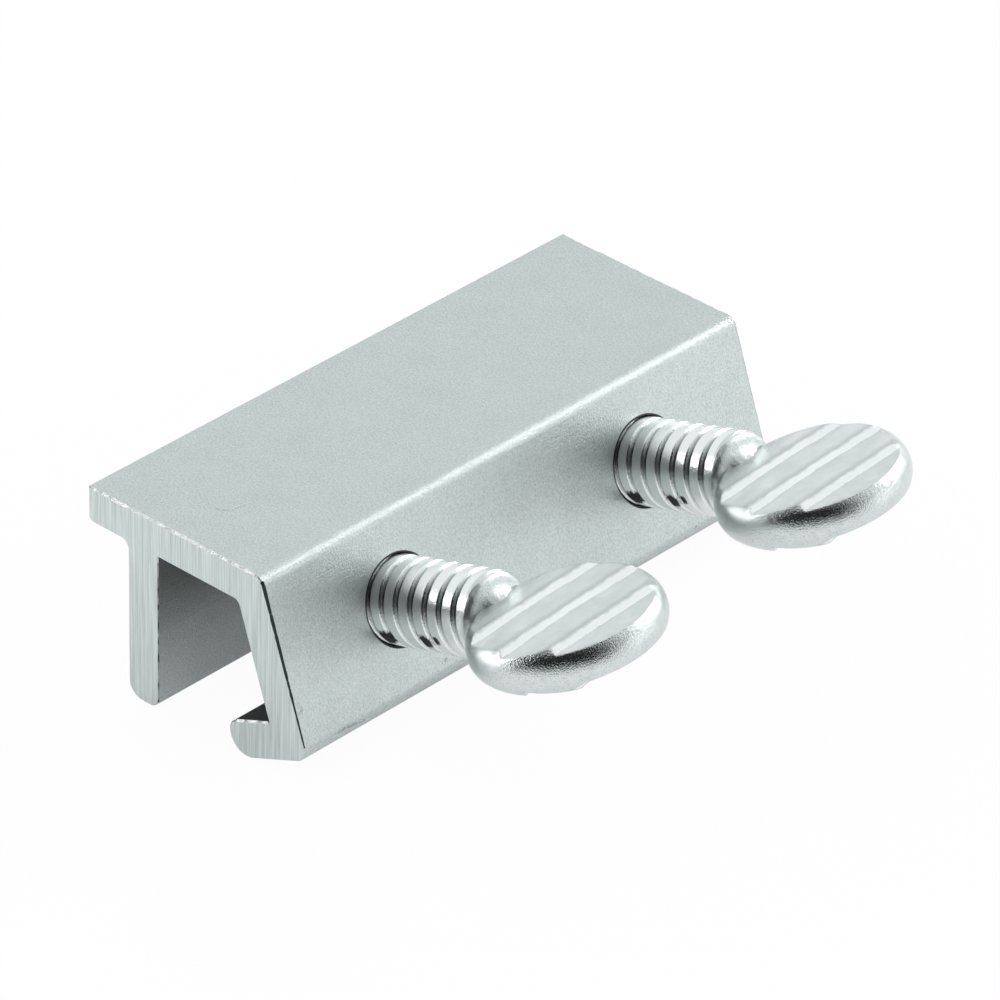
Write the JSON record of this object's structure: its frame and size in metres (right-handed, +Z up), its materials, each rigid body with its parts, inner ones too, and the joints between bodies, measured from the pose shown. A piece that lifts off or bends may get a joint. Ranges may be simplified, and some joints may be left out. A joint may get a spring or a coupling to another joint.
{
  "type": "patio door lock",
  "caption": "Clamp-on lock for a sliding patio door's track: a hooked aluminium channel that straddles the track's rib, pinched on it by thumb screws with ridged paddle heads.",
  "frame": {"origin": "middle of the channel's roof, the face that sits on top of the track's rib", "axes": "+Z up, out of the track; +Y along the rib; +X towards the slanted wall and the thumb screws"},
  "size_m": [0.031, 0.0364, 0.0131],
  "materials": {
    "extrusion": "mill finish, matt, saw-cut ends",
    "plated_screw": "bright zinc plating"
  },
  "bodies": {
    "body": {"lock_body": "extrusion"},
    "front_screw": {"front_thumb_screw": "plated_screw"},
    "rear_screw": {"rear_thumb_screw": "plated_screw"}
  },
  "joints": [
    {"name": "front_screw_travel", "type": "slide", "parent": "body", "child": "front_screw", "axis": [0.9563, 0, 0.2924], "range_m": [-0.00635, 0.00106]},
    {"name": "rear_screw_travel", "type": "slide", "parent": "body", "child": "rear_screw", "axis": [0.9563, 0, 0.2924], "range_m": [-0.00635, 0.00106]}
  ]
}
